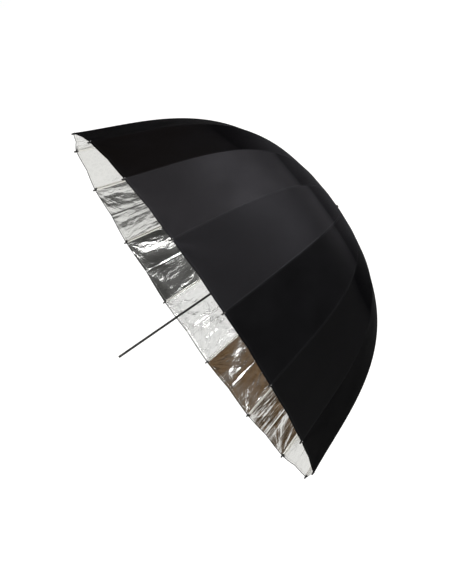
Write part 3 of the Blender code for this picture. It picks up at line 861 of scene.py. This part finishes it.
def root_fitting():
    """The crimped ferrule at the rib's root and its flat eye on the ring wire."""
    ferrule = rod_between("root_pattern", (ROOT_FROM, 0, 0), (ROOT_TO, 0, 0), ROOT_RADIUS, 18)
    inset_ends(ferrule, 0.0005)
    for place in CRIMPS_AT:
        crimp = wire_ring("crimp", (place, 0, 0), RAISED_RING, 0.00022, (0, math.pi / 2, 0))
        ferrule = joined([ferrule, crimp], "root_pattern")
    plate = plate_at((0.0033, 0, 0), (0.0044, 0.0032, 0.0015))
    eye = wire_ring("eye", (0, 0, 0), 0.0014, 0.0006)
    made = joined([ferrule, plate, eye], "root_pattern")
    smoothed(made)
    return finish_with(on_rib(made, 0.0), BRIGHT_STEEL)


def stretcher_clip():
    """The sleeve on the rib, with the lug that the stretcher is riveted to."""
    sleeve = rod_between("clip_pattern", (-CLIP_HALF, 0, 0), (CLIP_HALF, 0, 0), CLIP_RADIUS, 20)
    inset_ends(sleeve, 0.0006)
    rounded(sleeve, 0.0003)
    lug = plate_at((0, -0.0033, 0), (0.0084, 0.0064, 0.0030))
    made = joined([sleeve, lug], "clip_pattern")
    smoothed(made)
    return finish_with(on_rib(made, CLIP_AT), MOULDED)


def stretcher_pivot():
    spot, way = along_bow(np.array([CLIP_AT]))
    x, y = spot[0] - PIVOT_DROP * np.array([-way[0, 1], way[0, 0]])
    return Vector((float(x), float(y), 0))


def clip_rivet():
    pivot = stretcher_pivot()
    far = (*pivot.xy, STRETCHER_SIDE - 0.0006)
    made = rod_between("rivet_pattern", (*pivot.xy, -0.0020), far, RIVET_RADIUS, 14)
    head = rod_between("rivet_head", (*pivot.xy, -0.0026), (*pivot.xy, -0.0016), RIVET_HEAD, 16)
    rounded(head, 0.0004)
    made = joined([made, head], "rivet_pattern")
    smoothed(made)
    return finish_with(made, BRIGHT_STEEL)


def stretcher():
    inner = Vector((RUNNER_CIRCLE, RUNNER_Y, 0))
    far = stretcher_pivot() + Vector((0, 0, STRETCHER_SIDE))
    away = (far - inner).normalized()
    wire = rod_between(
        "stretcher_pattern", inner + EYE_ALONG * away, far - EYE_ALONG * away, WIRE_RADIUS, 14
    )
    parts = [wire]
    aim = math.atan2(away.y, away.x)
    for spot, toward in ((inner, 1), (far, -1)):
        parts.append(wire_ring("eye", spot, 0.0015, 0.00065))
        parts.append(plate_at(spot + toward * EYE_ALONG * away, (0.0056, 0.0030, 0.0013), aim))
    made = joined(parts, "stretcher_pattern")
    smoothed(made)
    return finish_with(made, BLACK_STEEL)


patterns = {
    "rib_rod": rib_rod(), "tip_cap": tip_cap(), "tip_stitch": tip_stitch(), "tip_knot": tip_knot(),
    "rib_root": root_fitting(),
    "stretcher_clip": stretcher_clip(), "clip_rivet": clip_rivet(), "stretcher_wire": stretcher(),
}
for number in range(RIBS):
    label = f"{number + 1:02d}"
    for name, pattern in patterns.items():
        piece = copy_to_rib(pattern, name, number)
        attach(piece, f"stretcher_{label}" if name == "stretcher_wire" else f"rib_{label}")
        if name == "rib_rod":
            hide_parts(f"rib_{label}")
        if name == "stretcher_wire":
            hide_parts(f"stretcher_{label}")
    for piece in make_cover(number):
        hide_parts(f"canopy_sector_{label}")
for pattern in patterns.values():
    drop(pattern)

for node, width, finish in (
    ("shaft", 0, BLACK_STEEL), ("end_plug", 0, MOULDED), ("stop_pin", 0.0002, BRIGHT_STEEL),
    ("crown", 0.0002, MOULDED), ("crown_ring_wire", 0, BRIGHT_STEEL), ("canopy_washer", 0.0002, OLIVE),
    ("crown_cap", 0.0002, OLIVE), ("runner", 0.0002, MOULDED), ("runner_ring_wire", 0, BRIGHT_STEEL),
    ("runner_collar", 0.0002, MOULDED), ("button_pin", 0, BRIGHT_STEEL),
    ("release_button", 0.0003, MOULDED),
):
    refined(node, width, finish, f"{node}_finished")

# Floor, light and camera -----------------------------------------------------------------------

bpy.ops.mesh.primitive_plane_add(size=5.2, location=(1.25, 0, cad_box[0].z - 0.001))
floor = bpy.context.active_object
floor.name = "floor"
settled(floor)
pale, board, shader = material("pale_floor")
shader.inputs["Base Color"].default_value = (0.30, 0.30, 0.295, 1)
shader.inputs["Roughness"].default_value = 0.9
shader.inputs["Emission Color"].default_value = (1, 1, 0.985, 1)
# the floor glows with painted bounce light, which lights the umbrella and shows in its lining. It has
# painted shade: the glow fades behind the bowl and at the left, where the room is dark
where = board.node("ShaderNodeSeparateXYZ", {0: board.node("ShaderNodeTexCoord").outputs["Object"]})
painted_shade_behind = board.spread(where.outputs["Y"], 0.6, 1.3, 0.66, 0.04)
painted_shade_left = board.spread(where.outputs["X"], -0.95, -0.55, 0.0, 1.0)
# painted bounce glow, darkened as painted shade behind the bowl and at the left
painted_bounce_glow = board.math("MULTIPLY", painted_shade_behind, painted_shade_left)
lit = board.node("ShaderNodeLightPath").outputs["Is Camera Ray"]
strength = board.math("MAXIMUM", board.math("MULTIPLY", lit, 0.95), painted_bounce_glow)
board.tree.links.new(strength, shader.inputs["Emission Strength"])
finish_with(floor, pale)

# The studio round it is dim and warm on one side, and white where the camera sees it.
world = bpy.data.worlds.new("studio")
bpy.context.scene.world = world
world.use_nodes = True
board = Board(world.node_tree)
sky = world.node_tree.nodes["Background"]
seen = board.node("ShaderNodeLightPath").outputs["Is Camera Ray"]
direction = board.node("ShaderNodeTexCoord").outputs["Generated"]
toward = board.node("ShaderNodeSeparateXYZ", {0: direction})
to_left = board.spread(toward.outputs["X"], -0.75, -0.15, 1.0, 0.0)
to_right = board.spread(toward.outputs["X"], 0.45, 0.95, 0.0, 1.0)
room = board.blend(to_left, (0.050, 0.050, 0.047, 1), (0.13, 0.080, 0.040, 1))
room = board.blend(to_right, room, (0.07, 0.07, 0.067, 1))
cluttered = board.spread(board.noise(direction, 3.5, 2.0), 0.35, 0.65, 0.3, 1.9)
room = board.node("ShaderNodeVectorMath", {0: room, "Scale": cluttered}, operation="SCALE").outputs[0]
world.node_tree.links.new(board.blend(seen, room, (1, 1, 1, 1)), sky.inputs["Color"])


def softbox(name, place, aim, size, power, colour=(1, 1, 1)):
    lamp = bpy.data.lights.new(name, "AREA")
    lamp.shape = "RECTANGLE"
    lamp.size, lamp.size_y = size
    lamp.energy = power
    lamp.color = colour
    thing = bpy.data.objects.new(name, lamp)
    bpy.context.scene.collection.objects.link(thing)
    thing.location = place
    thing.rotation_euler = (Vector(aim) - Vector(place)).to_track_quat("-Z", "Y").to_euler()


softbox("softbox_behind", (-1.6, 4.1, 1.25), (0, 0.5, 0.2), (2.4, 2.6), 140, (0.92, 0.90, 1.0))
softbox("softbox_front", (-0.1, -2.9, 2.95), (0, 0.3, -0.2), (1.5, 2.2), 9.5)
softbox("softbox_top", (1.6, -0.6, 5.5), (0, 0.3, 0), (2.0, 2.0), 240)
softbox("bounce_behind", (-0.35, 1.65, -0.56), (-0.35, 1.65, 1), (1.0, 0.8), 7, (0.94, 0.92, 1.0))
softbox("flash_right", (1.15, -2.1, 2.35), (0, 0.3, 0), (0.5, 0.5), 10)
softbox("flash_left", (-1.35, -1.9, 2.35), (0, 0.3, 0), (0.5, 0.5), 10)

azimuth, elevation = math.radians(54.73), math.radians(78.0)
aside, above, away = 0.1082, 0.0482, 5.652      # from the middle of the rim, in the camera's own directions
right = Vector((math.cos(azimuth), math.sin(azimuth), 0))
flat = math.cos(elevation)
back = Vector((math.sin(azimuth) * flat, -math.cos(azimuth) * flat, math.sin(elevation)))
up = back.cross(right)
camera = bpy.data.cameras.new("camera")
camera.lens = 116.3
camera.sensor_width = 36
camera.dof.use_dof = False
eye = bpy.data.objects.new("camera", camera)
bpy.context.scene.collection.objects.link(eye)
turn = Matrix((right, up, back)).transposed().to_4x4()
stand = Vector((0, RIM_Y, 0)) + aside * right + above * up + away * back
eye.matrix_world = Matrix.Translation(stand) @ turn
bpy.context.scene.camera = eye
bpy.context.scene.view_settings.view_transform = "Standard"
